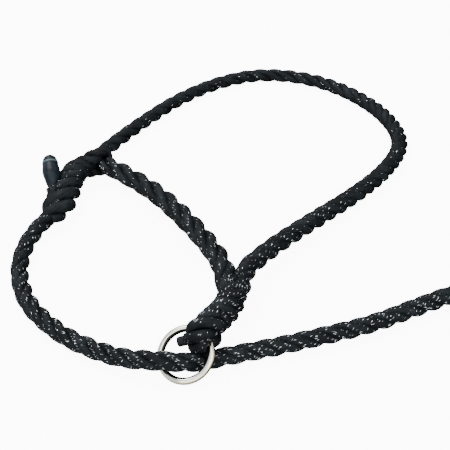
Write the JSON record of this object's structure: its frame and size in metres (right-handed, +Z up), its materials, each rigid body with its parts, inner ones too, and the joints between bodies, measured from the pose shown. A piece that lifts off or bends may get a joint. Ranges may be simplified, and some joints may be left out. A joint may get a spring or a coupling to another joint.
{
  "type": "rope halter",
  "caption": "Three-strand rope halter: headpiece and noseband loop, spliced metal ring, and a chin rope that runs through the ring as the lead.",
  "frame": {"origin": "middle of the footprint of the halter without its lead, on the table it lies on", "axes": "+X to the side where the lead leaves, +Y from the ring to the crown of the headpiece, +Z up from the table"},
  "size_m": [0.6166, 0.4994, 0.0434],
  "materials": {
    "rope_black": "satin synthetic rope with fine silver threads",
    "ring_nickel": "polished nickel plate",
    "dipped_end": "glossy"
  },
  "bodies": {
    "halter": {"noseband_rope": "rope_black", "ring_splice": "rope_black", "ring_eye_loop": "rope_black", "splice_strand_end": "rope_black", "cheek_eye_loop": "rope_black", "cheek_splice": "rope_black", "rope_tail": "rope_black", "tail_end_cap": "dipped_end", "chin_rope": "rope_black"},
    "headpiece": {"headpiece_rope": "rope_black"},
    "ring": {"lead_ring": "ring_nickel"},
    "lead": {"lead_rope": "rope_black", "lead_coil": "rope_black", "lead_end_cap": "dipped_end"}
  },
  "joints": [
    {"name": "headpiece_fold", "type": "hinge", "parent": "halter", "child": "headpiece", "pos_m": [-0.1348, 0.0611, 0.0194], "axis": [0.6818, -0.7308, 0.0327], "range_deg": [0, 100]},
    {"name": "ring_spin", "type": "hinge", "parent": "halter", "child": "ring", "pos_m": [-0.0339, -0.2265, 0.0144], "axis": [-0.2801, -0.4201, 0.8632], "continuous": true},
    {"name": "lead_pull", "type": "slide", "parent": "halter", "child": "lead", "axis": [0.9701, 0.2425, 0], "range_m": [0, 0.03]}
  ]
}
